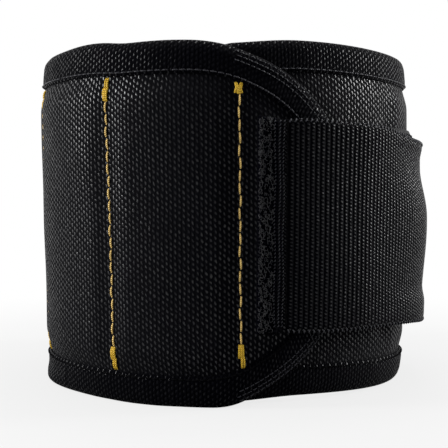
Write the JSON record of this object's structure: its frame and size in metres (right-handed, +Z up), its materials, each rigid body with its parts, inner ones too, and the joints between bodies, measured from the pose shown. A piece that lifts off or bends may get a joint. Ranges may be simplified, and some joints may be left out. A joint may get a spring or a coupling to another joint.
{
  "type": "magnetic wristband",
  "caption": "Padded black fabric wristband that holds screws and bits on magnets in stitched pockets, closed into a ring by an elastic hook and loop strap.",
  "frame": {"origin": "centre of the ring's bounding footprint, on the floor it stands on", "axes": "+Z up along the ring's axis, -Y to the front where the tongue laps, +X towards the strap"},
  "size_m": [0.1118, 0.1084, 0.0912],
  "materials": {
    "ballistic_nylon": "black ballistic weave",
    "binding_twill": "black twill tape",
    "air_mesh": "black knitted air mesh",
    "foam": "dark grey closed-cell foam",
    "magnet": "nickel plated",
    "yellow_thread": "yellow bonded thread",
    "black_thread": "black bonded thread",
    "elastic": "black ribbed woven elastic",
    "hook_tape": "black hook tape",
    "loop_tape": "black brushed loop tape"
  },
  "bodies": {
    "tongue": {"tongue_shell": "ballistic_nylon", "tongue_lining": "air_mesh", "tongue_foam": "foam", "tongue_binding": "binding_twill", "strap_root": "elastic", "strap_stitching": "black_thread"},
    "pocket_1": {"pocket_1_shell": "ballistic_nylon", "pocket_1_lining": "air_mesh", "pocket_1_foam": "foam", "pocket_1_magnet_upper": "magnet", "pocket_1_magnet_lower": "magnet", "pocket_1_binding_top": "binding_twill", "pocket_1_binding_bottom": "binding_twill", "stitch_line_1": "yellow_thread", "stitch_line_2": "yellow_thread"},
    "pocket_2": {"pocket_2_shell": "ballistic_nylon", "pocket_2_lining": "air_mesh", "pocket_2_foam": "foam", "pocket_2_magnet_upper": "magnet", "pocket_2_magnet_lower": "magnet", "pocket_2_binding_top": "binding_twill", "pocket_2_binding_bottom": "binding_twill", "stitch_line_3": "yellow_thread"},
    "pocket_3": {"pocket_3_shell": "ballistic_nylon", "pocket_3_lining": "air_mesh", "pocket_3_foam": "foam", "pocket_3_magnet_upper": "magnet", "pocket_3_magnet_lower": "magnet", "pocket_3_binding_top": "binding_twill", "pocket_3_binding_bottom": "binding_twill", "stitch_line_4": "yellow_thread"},
    "pocket_4": {"pocket_4_shell": "ballistic_nylon", "pocket_4_lining": "air_mesh", "pocket_4_foam": "foam", "pocket_4_magnet_upper": "magnet", "pocket_4_magnet_lower": "magnet", "pocket_4_binding_top": "binding_twill", "pocket_4_binding_bottom": "binding_twill", "stitch_line_5": "yellow_thread"},
    "pocket_5": {"pocket_5_shell": "ballistic_nylon", "pocket_5_lining": "air_mesh", "pocket_5_foam": "foam", "pocket_5_magnet_upper": "magnet", "pocket_5_magnet_lower": "magnet", "pocket_5_binding_top": "binding_twill", "pocket_5_binding_bottom": "binding_twill", "stitch_line_6": "yellow_thread"},
    "loop_end": {"loop_end_shell": "ballistic_nylon", "loop_end_lining": "air_mesh", "loop_end_foam": "foam", "loop_end_binding": "binding_twill", "loop_panel": "loop_tape"},
    "strap_middle": {"strap_middle": "elastic"},
    "strap_tip": {"strap_tip": "elastic", "hook_patch": "hook_tape"}
  },
  "joints": [
    {"name": "fold_1", "type": "hinge", "parent": "pocket_1", "child": "tongue", "pos_m": [0.00158, -0.05245, 0], "axis": [0, 0, -1], "range_deg": [0, 60]},
    {"name": "fold_2", "type": "hinge", "parent": "pocket_2", "child": "pocket_1", "pos_m": [-0.03242, -0.04344, 0], "axis": [0, 0, -1], "range_deg": [0, 60]},
    {"name": "fold_3", "type": "hinge", "parent": "pocket_3", "child": "pocket_2", "pos_m": [-0.05471, -0.01054, 0], "axis": [0, 0, -1], "range_deg": [0, 50]},
    {"name": "fold_4", "type": "hinge", "parent": "pocket_3", "child": "pocket_4", "pos_m": [-0.04813, 0.02866, 0], "axis": [0, 0, 1], "range_deg": [0, 35]},
    {"name": "fold_5", "type": "hinge", "parent": "pocket_4", "child": "pocket_5", "pos_m": [-0.01631, 0.05248, 0], "axis": [0, 0, 1], "range_deg": [0, 25]},
    {"name": "fold_6", "type": "hinge", "parent": "pocket_5", "child": "loop_end", "pos_m": [0.02315, 0.04774, 0], "axis": [0, 0, 1], "range_deg": [0, 20]},
    {"name": "strap_peel", "type": "hinge", "parent": "tongue", "child": "strap_middle", "pos_m": [0.03466, -0.04265, 0], "axis": [0, 0, -1], "range_deg": [0, 100]},
    {"name": "strap_tip_peel", "type": "hinge", "parent": "strap_middle", "child": "strap_tip", "pos_m": [0.05569, -0.00527, 0], "axis": [0, 0, -1], "range_deg": [0, 50]}
  ],
  "couplings": [
    {"joint": "fold_1", "follows": "fold_3", "ratio": 1.2},
    {"joint": "fold_2", "follows": "fold_3", "ratio": 1.2},
    {"joint": "fold_4", "follows": "fold_3", "ratio": 0.7},
    {"joint": "fold_5", "follows": "fold_3", "ratio": 0.5},
    {"joint": "fold_6", "follows": "fold_3", "ratio": 0.4},
    {"joint": "strap_tip_peel", "follows": "strap_peel", "ratio": 0.5}
  ]
}
